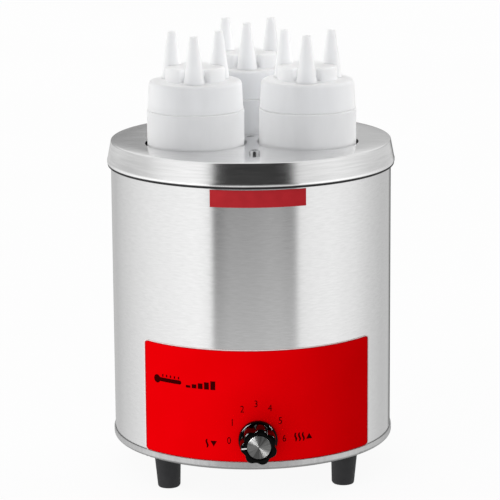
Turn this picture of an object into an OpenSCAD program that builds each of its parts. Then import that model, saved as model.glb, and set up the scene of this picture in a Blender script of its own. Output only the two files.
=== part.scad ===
// Round hot topping warmer: a heated water well in a stainless casing, and a
// lift-off lid whose rack holds three squeeze bottles with three-nozzle caps.
// Millimetres, +Z up. The origin is on the table under the casing's axis, and
// the control panel faces -Y. A turn is an angle about Z, counted from the
// front and growing towards +X.

/* [Casing] */
// Outside diameter of the rolled casing
casing_d = 207; // [200:1:220]
// Height of the lid's top face above the table
lid_top = 248; // [235:1:290]
// Thickness of the stainless sheet of casing, lid, pan and well
sheet_t = 0.8; // [0.6:0.1:1]
// Depth of the casing's top edge below the lid's top face
casing_drop = 7.5; // [7:0.1:9]
// Turn from the front to the casing's lap seam
seam_turn = 150; // [120:1:165]
// Width of the lap seam
seam_w = 9; // [6:0.5:14]

/* [Base] */
// Clear height under the base pan
foot_h = 22.9; // [18:0.1:30]
// Height of the base pan's upturned rim
rim_h = 5.8; // [4:0.1:8]
// Slope of the base pan's dished floor, in degrees
dish = 3; // [1:0.5:4]
// Diameter of the flat in the middle of the base pan
pan_flat_d = 110; // [90:1:130]
// Diameter of the circle through the four feet
foot_circle_d = 183; // [170:1:186]
// Diameter of a foot where it meets the pan
foot_top_d = 19.2; // [17:0.1:22]
// Diameter of a foot at its sole
foot_sole_d = 16.6; // [15:0.1:19]

/* [Lid] */
// Largest diameter of the lid, over the hem of its skirt
lid_d = 212.6; // [212:0.1:216]
// Height of the lid's skirt
lid_skirt_h = 18; // [14:0.1:20]
// Diameter of the lid's flat top, up to the fold
lid_flat_d = 204; // [203:0.5:206]
// Outside radius of the fold between top and skirt
lid_fold_r = 1.6; // [1:0.1:2]
// Thickness of the flattened hem at the skirt's lower edge
hem_t = 2.2; // [2:0.1:2.4]
// Height of the flattened hem
hem_h = 4; // [3:0.1:6]
// Diameter of the three bottle holes
bottle_hole_d = 74.4; // [72.4:0.1:76]
// Diameter of the circle through the bottles' axes
bottle_circle_d = 94.2; // [92:0.1:96]
// Diameter of the vent hole in the lid's centre
vent_d = 4.8; // [3:0.1:8]

/* [Bottle rack] */
// Diameter of the circle through the three rack posts
post_circle_d = 144; // [138:1:150]
// Diameter of a rack post
post_d = 6; // [5:0.1:8]
// Depth of the rack plate's upper face below the lid's top face
rack_depth = 168.8; // [140:0.1:170]
// Diameter of the rack plate
rack_d = 168; // [164:1:174]
// Thickness of the rack plate
rack_t = 1.2; // [1:0.1:2]

/* [Squeeze bottles] */
// Outside diameter of a bottle
bottle_d = 70.8; // [68:0.1:72]
// Wall thickness of a bottle
bottle_wall = 1.2; // [0.8:0.1:2]
// Height of bottle that shows between lid and cap
bottle_show = 25.3; // [20:0.1:40]
// Outside diameter of the neck
neck_d = 60.6; // [58:0.1:61]
// Running gap between the neck's rim and the roof of the cap
seal_gap = 0.05; // [0.05:0.05:0.3]

/* [Bottle caps] */
// Outside diameter of the cap at its lower edge
cap_low_d = 69.8; // [68:0.1:71]
// Outside diameter of the cap at its shoulder
cap_top_d = 67.6; // [66:0.1:69]
// Height of the cap's skirt and shoulder
cap_h = 20.8; // [18:0.1:24]
// Wall thickness of the cap
cap_wall = 1.8; // [1.4:0.1:2]
// Diameter of the raised hub on the cap
hub_d = 43.6; // [40:0.1:46]
// Height of the raised hub
hub_h = 10.2; // [8:0.1:12]
// Number of nozzles on a cap
nozzles = 3; // [2:1:4]
// Diameter of the circle through the nozzles' axes
nozzle_circle_d = 39.4; // [36:0.1:41]
// Height of a nozzle above the cap's shoulder
nozzle_h = 34.4; // [28:0.1:40]
// Diameter of a nozzle at its foot
nozzle_foot_d = 13.8; // [12:0.1:15]
// Diameter of a nozzle at its tip
nozzle_tip_d = 4.9; // [4:0.1:6]
// Diameter of the hole in a nozzle's tip
nozzle_hole_d = 2.8; // [2:0.1:3.2]
// Turn of each cap as screwed down: left, right and rear, in degrees
cap_turns = [-3, -5, -4];

/* [Control panel] */
// Height of the knob's axis above the table
knob_z = 46; // [44:0.5:48]
// Height of the red panel sheet
panel_h = 82.5; // [60:0.1:100]
// Part of a full turn that the panel sheet covers, in degrees
panel_spread = 102.8; // [80:0.2:120]
// Height of the red strip under the lid
strip_h = 12.4; // [10:0.1:16]
// Part of a full turn that the strip covers, in degrees
strip_spread = 38.3; // [30:0.1:50]
// Depth of the strip's lower edge below the lid's top face
strip_depth = 32.7; // [30:0.1:40]
// Turn of the panel sheet and the strip as stuck on, in degrees
sheet_turn = 0.8; // [-3:0.1:3]
// Thickness of the panel sheet and the strip
label_t = 0.3; // [0.1:0.05:0.4]

/* [Knob] */
// Depth of the knob from its back to its face
knob_h = 20.5; // [18:0.1:24]
// Diameter of the knob's round skirt
knob_d = 28.2; // [27.5:0.1:30]
// Diameter of the fluted grip over its lobes
grip_d = 26.6; // [25:0.1:27]
// Number of flutes in the grip
flutes = 7; // [6:1:10]
// Depth of a flute
flute_depth = 1.7; // [1:0.1:2]
// Diameter of the spun metal disc in the knob's face
disc_d = 16.9; // [14:0.1:17.5]
// Angle of the pointer below the horizontal at the off stop, in degrees
pointer_droop = 4; // [0:1:8]

/* [Water well and heating] */
// Inside diameter of the water well
well_d = 178; // [176:1:179]
// Height of the well's underside above the table
well_z = 68; // [66:0.5:72]
// Diameter of the heating ring, to the middle of its tube
ring_d = 104; // [96:1:110]
// Diameter of the heating ring's tube
ring_tube_d = 8; // [6:0.5:8]
// Diameter of the hole for the supply cord
cord_hole_d = 8; // [7:0.1:9]
// Height of the cord hole above the table
cord_z = 46; // [42:1:50]

/* [Hidden] */
$fn = 96;

steel = "silver";
dark_steel = "dimgray";
milky = "whitesmoke";
rubber = [0.12, 0.12, 0.12];
red = [0.85, 0.02, 0.03];

// Turns of the parts that stand in a ring
bottle_turns = [-60, 60, 180];
post_turns = [0, 120, 240];
foot_turns = [-45, 45, -135, 135];

// Cuts run this far past the faces that they open
past = 1;
// Pieces that rest on or in each other are drawn this far apart
touch_gap = 0.03;

// Casing and base pan
casing_r = casing_d / 2;
casing_in_r = casing_r - sheet_t;
casing_top = lid_top - casing_drop;
pan_r = casing_r + 1;
pan_bend_r = 2.5;
pan_slope_r = pan_r - pan_bend_r - 2;
pan_flat_r = pan_flat_d / 2;
pan_rise = (pan_slope_r - pan_flat_r) * tan(dish);
pan_flat_z = foot_h + pan_rise;
casing_low = foot_h + 2;
seam_low = foot_h + rim_h + 0.6;
seam_top = lid_top - lid_skirt_h - 0.6;
wall_reach = 8;
slots = 8;
slot_l = 16;
slot_w = 3;
slot_at = 36;

// Feet and their screws
foot_at = foot_circle_d / 2;
foot_seat_z = foot_h + (pan_slope_r - foot_at) * tan(dish);
foot_trim = 0.4;
foot_l = foot_seat_z / cos(dish) + foot_trim;
foot_edge_r = 2;
foot_recess_d = 9.4;
foot_recess_h = 13;
foot_screw_d = 4;
foot_head_d = 8;
foot_head_h = 2.6;
foot_head_edge_r = 1;
foot_gap = 0.05;

// Lid
lid_r = lid_d / 2;
lid_under = lid_top - sheet_t;
lid_flat_r = lid_flat_d / 2;
hem_low = lid_top - lid_skirt_h + hem_t / 2;
hem_high = hem_low + hem_h - hem_t;
hem_tuck = 0.3;
bottle_hole_r = bottle_hole_d / 2;
bottle_at = bottle_circle_d / 2;

// Rack
post_at = post_circle_d / 2;
rack_top = lid_top - rack_depth;
rack_low = rack_top - rack_t;
rack_centre_d = 16;
rack_window_d = 40;
rack_hole_d = 8;
rack_hole_turn = 18;
rack_gap_d = 12;
rack_gap_at = 52;
rack_screw_d = 4;
rack_bore_d = rack_screw_d + 2 * touch_gap;
rack_screw_l = 12;
lid_screw_hole_d = 4.3;
rack_stud_l = 5.4;
screw_head_d = 8;
screw_head_h = 2.7;
screw_dome_r = 1.3;
cross_l = 4.2;
cross_w = 1;
cross_h = 1.6;
nut_w = 7;
nut_h = 3.2;

// Bottles and caps
bottle_r = bottle_d / 2;
bottle_low = rack_top + touch_gap;
cap_low = lid_top + bottle_show;
cap_gap = 0.25;
shoulder_z = cap_low - cap_gap;
heel_r = 5;
shoulder_r = 1.6;
base_recess_r = 27;
base_recess_h = 1.6;
base_t = 1.4;
cap_top = cap_low + cap_h;
neck_top = cap_top - cap_wall - seal_gap;
cap_in_r = neck_d / 2 + 0.9;
cap_edge_r = 2.6;
cap_bead_h = 1.6;
cap_bead = 0.35;
cap_bead_edge_r = 0.6;
hub_r = hub_d / 2;
hub_edge_r = 0.8;
hub_wall = 1.5;
nozzle_at = nozzle_circle_d / 2;
nozzle_wall = 1.3;

// Panel sheet and knob
panel_low = foot_h + rim_h + 0.1;
panel_corner = 2.4;
face_r = casing_r + label_t;
knob_back = face_r + 0.5;
knob_skirt_h = 4.5;
knob_edge_r = 0.8;
knob_r = knob_d / 2;
grip_r = grip_d / 2;
flute_r = 3.2;
disc_t = 0.7;
disc_seat = 0.5;
disc_gap = 0.05;
disc_edge_r = 0.15;
pointer_w = 0.9;
pointer_t = 0.4;
pointer_gap = 0.3;
pointer_seat = 0.2;
shaft_d = 6;
shaft_gap = 0.05;
shaft_in_knob = 14;
shaft_back_y = 97;
shaft_bore_tail = 2;
hollow_r = 10.6;
hollow_h = 4;

// Thermostat
bushing_d = 10;
bushing_hole_d = bushing_d + 0.4;
bushing_front = knob_back + 3.3;
thermo_nut_w = 14;
thermo_nut_h = 2.5;
nut_gap = 0.05;
thermo_w = 34;
thermo_l = 22;
thermo_h = 28;
thermo_front = 98;
thermo_cup_d = 24;
thermo_cup_l = 4;
tab_w = 6;
tab_l = 6;
tab_t = 0.8;
tab_x = 10;
tab_grip = 4;
tab_y = thermo_l - thermo_front + tab_grip;
tab_z = knob_z - 8;

// Water well
well_r = well_d / 2;
well_bend_r = 8;
flange_in_r = 2;
flange_flat_r = well_r + 8;
flange_out_r = casing_in_r - flange_flat_r;
lip_h = 9.5;
well_out_r = well_r + sheet_t;

// Heating
ring_r = ring_tube_d / 2;
ring_z = well_z - ring_r;
ring_gap = 40;
ring_bend_r = 6;
ring_end_l = 5;
ring_end_turn = 180 - ring_gap / 2;
ring_leg_x = ring_bend_r * cos(ring_end_turn) + ring_d / 2 * sin(ring_end_turn);
ring_leg_y = ring_bend_r * sin(ring_end_turn) - ring_d / 2 * cos(ring_end_turn);
pin_d = 3;
pin_l = 7;
clamp_t = 1.2;
clamp_z = ring_z - ring_r - clamp_t;
clamp_r = ring_d / 2 + 6;
clamp_notch_w = 42;
clamp_notch_y = 43;
stud_d = 6;
stud_low = pan_flat_z - 7.5;
tie_nut_w = 10;
tie_nut_h = 5;
cutout_d = 16;
cutout_foot_d = 13;
cutout_foot_h = 4;
cutout_at = 28;
bulb_d = 6;
bulb_l = 60;
bulb_y = 21;
capillary_d = 1.6;
capillary_x = bulb_l / 2 + 3;
capillary_end_x = 12;
capillary_hole_d = 3;
capillary_drop = 6;
capillary_run = 16;

// Insulation, wiring and cord bushing
blanket_gap = 0.4;
blanket_low = well_z + 4;
blanket_top = casing_top - lip_h - 1;
wire_d = 2.2;
wire_rise = 3;
lead_x = 36;
lead_y = 46;
terminal_w = 30;
terminal_l = 18;
terminal_h = 14;
terminal_y = 36;
terminal_row = 4.5;
terminal_screw_d = 4.5;
terminal_step = terminal_w / 3;
terminal_well = 5;
terminal_groove = 1;
cord_seat_d = 13;
cord_flange_d = 18;
cord_flange_t = 2;
cord_tail = 3;
cord_gap = 0.1;
cord_lip_d = 16;

// Plain helpers

module tube(r_out, r_in, low, high) {
  difference() {
    translate([0, 0, low]) cylinder(r = r_out, h = high - low);
    translate([0, 0, low - past]) cylinder(r = r_in, h = high - low + 2 * past);
  }
}

// Piece of a ring, spread evenly about the front
module ring_piece(r_in, r_out, spread, low, high) {
  rotate_extrude(angle = spread, start = -90 - spread / 2)
    translate([r_in, low]) square([r_out - r_in, high - low]);
}

// Moves what is made on the axis out to a circle at a turn from the front
module on_circle(at, turn) {
  rotate([0, 0, turn]) translate([0, -at, 0]) children();
}

// Turns a piece made along +Z to point forward, with its foot at depth y
module forward(y, z) {
  translate([0, -y, z]) rotate([90, 0, 0]) children();
}

// Hole across the casing wall at the front
module wall_hole(d, z) {
  forward(casing_r - wall_reach, z) cylinder(d = d, h = 2 * wall_reach);
}

module hex_nut(width, bore_d, low, high) {
  difference() {
    translate([0, 0, low]) cylinder(d = width / cos(30), h = high - low, $fn = 6);
    translate([0, 0, low - past]) cylinder(d = bore_d, h = high - low + 2 * past);
  }
}

// Half outline of a turned block with rounded lower and upper edges
module turned(r, low, high, low_r, high_r) {
  translate([0, low]) square([r - max(low_r, high_r), high - low]);
  translate([0, low + low_r]) square([r, high - low - low_r - high_r]);
  if (low_r > 0) {
    translate([0, low]) square([r - low_r, low_r]);
    translate([r - low_r, low + low_r]) circle(low_r);
  }
  if (high_r > 0) {
    translate([0, high - high_r]) square([r - high_r, high_r]);
    translate([r - high_r, high - high_r]) circle(high_r);
  }
}

// Quarter bend of sheet about a centre, outside radius r; side and rise pick the quadrant
module bend(centre, r, side, rise) {
  translate(centre) intersection() {
    difference() {
      circle(r);
      circle(r - sheet_t);
    }
    translate([side > 0 ? 0 : -r - past, rise > 0 ? 0 : -r - past])
      square(r + past);
  }
}

// Thin sheet wrapped round the casing, with its corners rounded as seen from the front
module wrapped_sheet(spread, low, high, corner) {
  half_w = face_r * sin(spread / 2);
  intersection() {
    tube(face_r, casing_r, low, high);
    translate([0, 0, low]) rotate([90, 0, 0]) linear_extrude(face_r + past)
      rounded_outline(half_w, high - low, corner);
  }
}

module rounded_outline(half_w, high, corner) {
  translate([-half_w, corner]) square([2 * half_w, high - 2 * corner]);
  translate([-half_w + corner, 0]) square([2 * (half_w - corner), high]);
  if (corner > 0)
    for (x = [-1, 1], y = [corner, high - corner])
      translate([x * (half_w - corner), y]) circle(corner);
}

// Eight-sided rod through a list of points, with a knuckle at each bend
module rod_path(points, d) {
  for (i = [0 : len(points) - 2]) {
    step = points[i + 1] - points[i];
    len_xy = norm([step[0], step[1]]);
    translate(points[i]) {
      rotate([0, atan2(len_xy, step[2]), atan2(step[1], step[0])])
        cylinder(d = d, h = norm(step), $fn = 8);
      if (i > 0) sphere(d = 1.2 * d, $fn = 8);
    }
  }
}

// Casing and base

module casing() {
  color(steel) difference() {
    union() {
      tube(casing_r, casing_in_r, casing_low, casing_top);
      rotate([0, 0, seam_turn])
        ring_piece(casing_r, casing_r + sheet_t, seam_w / casing_r * 180 / PI,
                   seam_low, seam_top);
    }
    wall_hole(bushing_hole_d, knob_z);
    rotate([0, 0, 180]) wall_hole(cord_seat_d, cord_z);
  }
}

// Half outline of the base pan: centre flat, dished floor, bend and rim
module pan_outline() {
  translate([0, pan_flat_z]) square([pan_flat_r, sheet_t]);
  polygon([
    [pan_flat_r, pan_flat_z],
    [pan_slope_r, foot_h],
    [pan_slope_r, foot_h + sheet_t],
    [pan_flat_r, pan_flat_z + sheet_t]
  ]);
  translate([pan_slope_r, foot_h])
    square([pan_r - pan_bend_r - pan_slope_r, sheet_t]);
  bend([pan_r - pan_bend_r, foot_h + pan_bend_r], pan_bend_r, 1, -1);
  translate([pan_r - sheet_t, foot_h + pan_bend_r])
    square([sheet_t, rim_h - pan_bend_r]);
}

module base_pan() {
  color(steel) difference() {
    rotate_extrude() pan_outline();
    for (turn = foot_turns) on_foot(turn)
      translate([0, 0, -past]) cylinder(d = foot_screw_d, h = sheet_t + 3 * past);
    translate([0, 0, foot_h]) cylinder(d = stud_d, h = 2 * pan_rise);
    for (i = [0 : slots - 1])
      rotate([0, 0, (i + 0.5) * 360 / slots])
        translate([slot_at, -slot_w / 2, foot_h]) cube([slot_l, slot_w, 2 * pan_rise]);
  }
}

// Frame of a foot: its top centre under the dished floor, square to the slope
module on_foot(turn) {
  on_circle(foot_at, turn) translate([0, 0, foot_seat_z]) rotate([dish, 0, 0]) children();
}

module foot(turn) {
  edge_at = [foot_sole_d / 2 - foot_edge_r, foot_edge_r - foot_l];
  color(rubber) intersection() {
    on_foot(turn) difference() {
      rotate_extrude() polygon([
        [foot_top_d / 2, -foot_gap],
        [0, -foot_gap],
        [0, -foot_l],
        for (a = [-90 : 15 : 0]) edge_at + foot_edge_r * [cos(a), sin(a)]
      ]);
      translate([0, 0, -foot_l - past]) cylinder(d = foot_recess_d, h = foot_recess_h + past);
      translate([0, 0, -foot_l]) cylinder(d = foot_screw_d, h = foot_l + past);
    }
    translate([-casing_d, -casing_d, 0]) cube([2 * casing_d, 2 * casing_d, lid_top]);
  }
}

module foot_front_left() foot(foot_turns[0]);
module foot_front_right() foot(foot_turns[1]);
module foot_rear_left() foot(foot_turns[2]);
module foot_rear_right() foot(foot_turns[3]);

// Pan head screw up through each foot and the pan, with its nut inside the pan
module foot_screws() {
  head_low = foot_recess_h - foot_l - foot_head_h;
  nut_low = sheet_t + foot_gap;
  color(dark_steel) for (turn = foot_turns) on_foot(turn) {
    rotate_extrude() turned(foot_head_d / 2, head_low, head_low + foot_head_h, foot_head_edge_r, 0);
    translate([0, 0, head_low + past]) cylinder(d = foot_screw_d, h = nut_low + nut_h - head_low);
    hex_nut(nut_w, foot_screw_d, nut_low, nut_low + nut_h);
  }
}

// Water well, insulation and heating

// Half outline of the drawn well: floor, wall, seat for the lid and lip inside the casing
module well_outline() {
  floor_r = well_r - well_bend_r;
  bend_z = well_z + sheet_t + well_bend_r;
  flange_z = lid_under - sheet_t - flange_in_r;
  lip_top = lid_under - flange_out_r;
  translate([0, well_z]) square([floor_r, sheet_t]);
  bend([floor_r, bend_z], well_bend_r + sheet_t, 1, -1);
  translate([well_r, bend_z]) square([sheet_t, flange_z - bend_z]);
  bend([well_out_r + flange_in_r, flange_z], flange_in_r + sheet_t, -1, 1);
  translate([well_out_r + flange_in_r, lid_under - sheet_t])
    square([flange_flat_r - well_out_r - flange_in_r, sheet_t]);
  bend([flange_flat_r, lip_top], flange_out_r, 1, 1);
  translate([casing_in_r - sheet_t, lip_top - lip_h]) square([sheet_t, lip_h]);
}

module water_well() {
  color(steel) rotate_extrude() well_outline();
}

module insulation() {
  color("khaki")
    tube(casing_in_r - sheet_t - blanket_gap, well_out_r + blanket_gap, blanket_low, blanket_top);
}

// Tubular heater pressed against the well's floor, open at the rear, with both ends turned down
module heating_ring() {
  color(dark_steel) {
    translate([0, 0, ring_z])
      rotate_extrude(angle = 360 - ring_gap, start = 90 + ring_gap / 2)
        translate([ring_d / 2, 0]) circle(ring_r);
    for (side = [0, 1]) on_circle(ring_d / 2, ring_end_turn * (1 - 2 * side)) mirror([side, 0, 0])
      translate([0, 0, ring_z - ring_bend_r]) {
        rotate([90, 0, 0]) rotate_extrude(angle = 90) translate([ring_bend_r, 0]) circle(ring_r);
        translate([ring_bend_r, 0, -ring_end_l]) {
          cylinder(r = ring_r, h = ring_end_l);
          translate([0, 0, -pin_l]) cylinder(d = pin_d, h = pin_l + past);
        }
      }
  }
}

module clamp_plate() {
  color(steel) difference() {
    translate([0, 0, clamp_z]) cylinder(r = clamp_r, h = clamp_t);
    translate([0, 0, clamp_z - past]) cylinder(d = stud_d, h = clamp_t + 2 * past);
    translate([capillary_x, bulb_y, clamp_z - past])
      cylinder(d = capillary_hole_d, h = clamp_t + 2 * past);
    translate([-clamp_notch_w / 2, clamp_notch_y, clamp_z - past])
      cube([clamp_notch_w, clamp_r, clamp_t + 2 * past]);
  }
}

// Stud welded under the well; its nuts hold the clamp plate and the base pan
module tie_stud() {
  color(dark_steel) translate([0, 0, stud_low]) cylinder(d = stud_d, h = well_z - stud_low);
}

module tie_nuts() {
  color(dark_steel) {
    hex_nut(tie_nut_w, stud_d, clamp_z - tie_nut_h, clamp_z);
    hex_nut(tie_nut_w, stud_d, pan_flat_z - tie_nut_h, pan_flat_z);
  }
}

// Disc cut-out held between the well's floor and the clamp plate
module overheat_cutout() {
  body_low = clamp_z + clamp_t;
  color("saddlebrown") translate([0, -cutout_at, body_low]) {
    translate([0, 0, cutout_foot_h]) cylinder(d = cutout_d, h = well_z - body_low - cutout_foot_h);
    cylinder(d = cutout_foot_d, h = cutout_foot_h + past);
    for (side = [-1, 1])
      translate([side * cutout_d / 2 - tab_w / 2, -tab_w / 2, cutout_foot_h - tab_t])
        cube([tab_w, tab_w, tab_t]);
  }
}

// Thermostat body behind the casing, with its hollow threaded bushing
module thermostat() {
  color("ivory") difference() {
    union() {
      translate([-thermo_w / 2, -thermo_front, knob_z - thermo_h / 2])
        cube([thermo_w, thermo_l, thermo_h]);
      forward(thermo_front - thermo_l - thermo_cup_l, knob_z)
        cylinder(d = thermo_cup_d, h = thermo_cup_l + past);
      forward(thermo_front - past, knob_z)
        cylinder(d = bushing_d, h = bushing_front - thermo_front + past);
      for (side = [-1, 1])
        translate([side * tab_x - tab_w / 2, thermo_l - thermo_front - past, tab_z - tab_t / 2])
          cube([tab_w, tab_l + past, tab_t]);
    }
    forward(shaft_back_y - shaft_bore_tail, knob_z)
      cylinder(d = shaft_d + 2 * shaft_gap, h = bushing_front);
  }
}

module thermostat_nut() {
  color(dark_steel) forward(face_r, knob_z) difference() {
    translate([0, 0, nut_gap]) cylinder(d = thermo_nut_w / cos(30), h = thermo_nut_h, $fn = 6);
    translate([0, 0, -past]) cylinder(d = bushing_d, h = thermo_nut_h + 3 * past);
  }
}

// Sensor bulb under the well's floor and its capillary to the thermostat
module sensor_bulb() {
  bulb_z = well_z - bulb_d / 2;
  low_z = clamp_z - capillary_drop;
  color("peru") {
    translate([-bulb_l / 2, bulb_y, bulb_z]) rotate([0, 90, 0]) cylinder(d = bulb_d, h = bulb_l);
    rod_path([
      [bulb_l / 2 - past, bulb_y, bulb_z],
      [capillary_x, bulb_y, bulb_z],
      [capillary_x, bulb_y, low_z],
      [capillary_x, -bulb_y, low_z],
      [capillary_end_x, thermo_l - thermo_front + capillary_run, low_z],
      [capillary_end_x, thermo_l - thermo_front - past, low_z]
    ], capillary_d);
  }
}

module terminal_block() {
  base_z = pan_flat_z + sheet_t;
  color("ivory") difference() {
    translate([-terminal_w / 2, terminal_y - terminal_l / 2, base_z])
      cube([terminal_w, terminal_l, terminal_h]);
    for (x = [-1, 0, 1], y = [-1, 1])
      translate([x * terminal_step, terminal_y + y * terminal_row, base_z + terminal_h - terminal_well])
        cylinder(d = terminal_screw_d, h = terminal_well + past);
    for (x = [-0.5, 0.5])
      translate([x * terminal_step - terminal_groove / 2, terminal_y - terminal_l / 2 - past,
                 base_z + terminal_h - terminal_well])
        cube([terminal_groove, terminal_l + 2 * past, terminal_well + past]);
  }
}

// Insulated leads between terminals, heater, cut-out and thermostat
module wiring() {
  top_z = pan_flat_z + sheet_t + terminal_h;
  run_z = top_z + wire_rise;
  grip_z = ring_z - ring_bend_r - ring_end_l - pin_l + wire_d;
  end_z = top_z - wire_d;
  far_y = terminal_y + terminal_row;
  near_y = terminal_y - terminal_row;
  color("white") {
    rod_path([
      [ring_leg_x, ring_leg_y, grip_z],
      [ring_leg_x, ring_leg_y, run_z],
      [terminal_step, far_y, run_z],
      [terminal_step, far_y, end_z]
    ], wire_d);
    rod_path([
      [-ring_leg_x, ring_leg_y, grip_z],
      [-ring_leg_x, ring_leg_y, run_z],
      [-lead_x, near_y, run_z],
      [-lead_x, -lead_y, run_z],
      [-tab_x, tab_y, tab_z]
    ], wire_d);
    rod_path([
      [terminal_step, near_y, end_z],
      [terminal_step, near_y, run_z],
      [terminal_step + tab_x, -lead_y, run_z],
      [tab_x, tab_y, tab_z]
    ], wire_d);
  }
}

// Rubber bushing in the rear of the casing, bored for the supply cord
module cord_bushing() {
  color(rubber) rotate([0, 0, 180]) difference() {
    union() {
      forward(casing_in_r - cord_tail, cord_z)
        cylinder(d = cord_seat_d, h = cord_tail + sheet_t + past);
      forward(casing_r + cord_gap, cord_z)
        rotate_extrude() turned(cord_flange_d / 2, 0, cord_flange_t, 0, cord_flange_t / 2);
      forward(casing_in_r - cord_tail, cord_z) cylinder(d = cord_lip_d, h = cord_tail / 2);
    }
    forward(casing_in_r - cord_tail - past, cord_z)
      cylinder(d = cord_hole_d, h = cord_tail + sheet_t + cord_gap + cord_flange_t + 2 * past);
  }
}

// Panel sheet, strip and knob

module panel_sheet() {
  color(red) difference() {
    rotate([0, 0, sheet_turn])
      wrapped_sheet(panel_spread, panel_low, panel_low + panel_h, panel_corner);
    wall_hole(bushing_hole_d, knob_z);
  }
}

module strip() {
  low = lid_top - strip_depth;
  color(red) rotate([0, 0, sheet_turn]) wrapped_sheet(strip_spread, low, low + strip_h, 0);
}

module grip_outline(r) {
  flute_at = r - flute_depth + flute_r;
  difference() {
    circle(r);
    for (i = [0 : flutes - 1])
      rotate(180 + pointer_droop + (i + 0.5) * 360 / flutes)
        translate([flute_at, 0]) circle(flute_r);
  }
}

// Bar on the knob's face, drawn along +X before it is turned to the off mark
module pointer_bar(low, high) {
  bar_in = disc_d / 2 + pointer_gap;
  bar_out = grip_r - knob_edge_r;
  rotate([0, 0, 180 + pointer_droop])
    translate([bar_in, -pointer_w / 2, low]) cube([bar_out - bar_in, pointer_w, high - low]);
}

module knob() {
  color(rubber) forward(knob_back, knob_z) difference() {
    union() {
      rotate_extrude() polygon([
        [0, 0],
        [knob_r, 0],
        [knob_r, knob_skirt_h - knob_edge_r],
        [knob_r - knob_edge_r, knob_skirt_h],
        [0, knob_skirt_h]
      ]);
      linear_extrude(knob_h - knob_edge_r) grip_outline(grip_r);
      linear_extrude(knob_h) grip_outline(grip_r - knob_edge_r / 2);
    }
    translate([0, 0, -past]) cylinder(r = hollow_r, h = hollow_h + past);
    cylinder(d = shaft_d, h = shaft_in_knob);
    translate([0, 0, knob_h - disc_seat]) cylinder(d = disc_d + 2 * disc_gap, h = 2 * past);
    pointer_bar(knob_h - pointer_seat, knob_h + past);
  }
}

module knob_disc() {
  color("lightgray") forward(knob_back + knob_h - disc_seat, knob_z)
    rotate_extrude() turned(disc_d / 2, 0, disc_t, 0, disc_edge_r);
}

module knob_pointer() {
  color("white") forward(knob_back, knob_z)
    pointer_bar(knob_h - pointer_seat, knob_h - pointer_seat + pointer_t);
}

module thermostat_shaft() {
  color(steel) forward(shaft_back_y, knob_z)
    cylinder(d = shaft_d, h = knob_back + shaft_in_knob - shaft_back_y);
}

// Lid and bottle rack

// Half outline of the lid: flat top, fold, flared skirt and flattened hem
module lid_outline() {
  fold_z = lid_top - lid_fold_r;
  fold_out = lid_flat_r + lid_fold_r;
  translate([0, lid_under]) square([lid_flat_r, sheet_t]);
  bend([lid_flat_r, fold_z], lid_fold_r, 1, 1);
  polygon([
    [fold_out, fold_z],
    [fold_out - sheet_t, fold_z],
    [lid_r - hem_tuck - sheet_t, hem_high],
    [lid_r - hem_tuck, hem_high]
  ]);
  translate([lid_r - hem_t / 2, 0]) {
    translate([0, hem_low]) circle(d = hem_t);
    translate([0, hem_high]) circle(d = hem_t);
    translate([-hem_t / 2, hem_low]) square([hem_t, hem_high - hem_low]);
  }
}

module lid() {
  color(steel) difference() {
    rotate_extrude() lid_outline();
    for (turn = bottle_turns) on_circle(bottle_at, turn)
      translate([0, 0, lid_under - past]) cylinder(r = bottle_hole_r, h = sheet_t + 2 * past);
    for (turn = post_turns) on_circle(post_at, turn)
      translate([0, 0, lid_under - past]) cylinder(d = lid_screw_hole_d, h = sheet_t + 2 * past);
    translate([0, 0, lid_under - past]) cylinder(d = vent_d, h = sheet_t + 2 * past);
  }
}

// Domed cross-head screws that hold the rack posts to the lid
module lid_screws() {
  color("gainsboro") for (turn = post_turns) on_circle(post_at, turn) difference() {
    union() {
      translate([0, 0, lid_top + touch_gap])
        rotate_extrude() turned(screw_head_d / 2, 0, screw_head_h, 0, screw_dome_r);
      translate([0, 0, lid_under - rack_screw_l])
        cylinder(d = rack_screw_d, h = rack_screw_l + sheet_t + past);
    }
    for (side = [45, 135]) rotate([0, 0, side])
      translate([-cross_l / 2, -cross_w / 2, lid_top + screw_head_h - cross_h])
        cube([cross_l, cross_w, cross_h + past]);
  }
}

module rack_posts() {
  color(steel) for (turn = post_turns) on_circle(post_at, turn) difference() {
    union() {
      translate([0, 0, rack_top]) cylinder(d = post_d, h = lid_under - rack_top);
      translate([0, 0, rack_low - rack_stud_l + rack_t])
        cylinder(d = rack_screw_d, h = rack_stud_l + past);
    }
    translate([0, 0, lid_under - rack_screw_l - touch_gap])
      cylinder(d = rack_bore_d, h = rack_screw_l + past);
  }
}

// Plate that the bottles stand on, open under each bottle so that water rises round them
module rack_plate() {
  color(steel) translate([0, 0, rack_low]) difference() {
    cylinder(d = rack_d, h = rack_t);
    translate([0, 0, -past]) {
      cylinder(d = rack_centre_d, h = rack_t + 2 * past);
      for (turn = bottle_turns)
        on_circle(bottle_at, turn) cylinder(d = rack_window_d, h = rack_t + 2 * past);
      for (turn = post_turns) {
        on_circle(post_at, turn) cylinder(d = rack_bore_d, h = rack_t + 2 * past);
        for (side = [-rack_hole_turn, rack_hole_turn])
          on_circle(post_at, turn + side) cylinder(d = rack_hole_d, h = rack_t + 2 * past);
        on_circle(rack_gap_at, turn) cylinder(d = rack_gap_d, h = rack_t + 2 * past);
      }
    }
  }
}

module rack_nuts() {
  color(dark_steel) for (turn = post_turns) on_circle(post_at, turn)
    hex_nut(nut_w, rack_bore_d, rack_low - nut_h, rack_low);
}

// Squeeze bottles and caps

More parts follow.
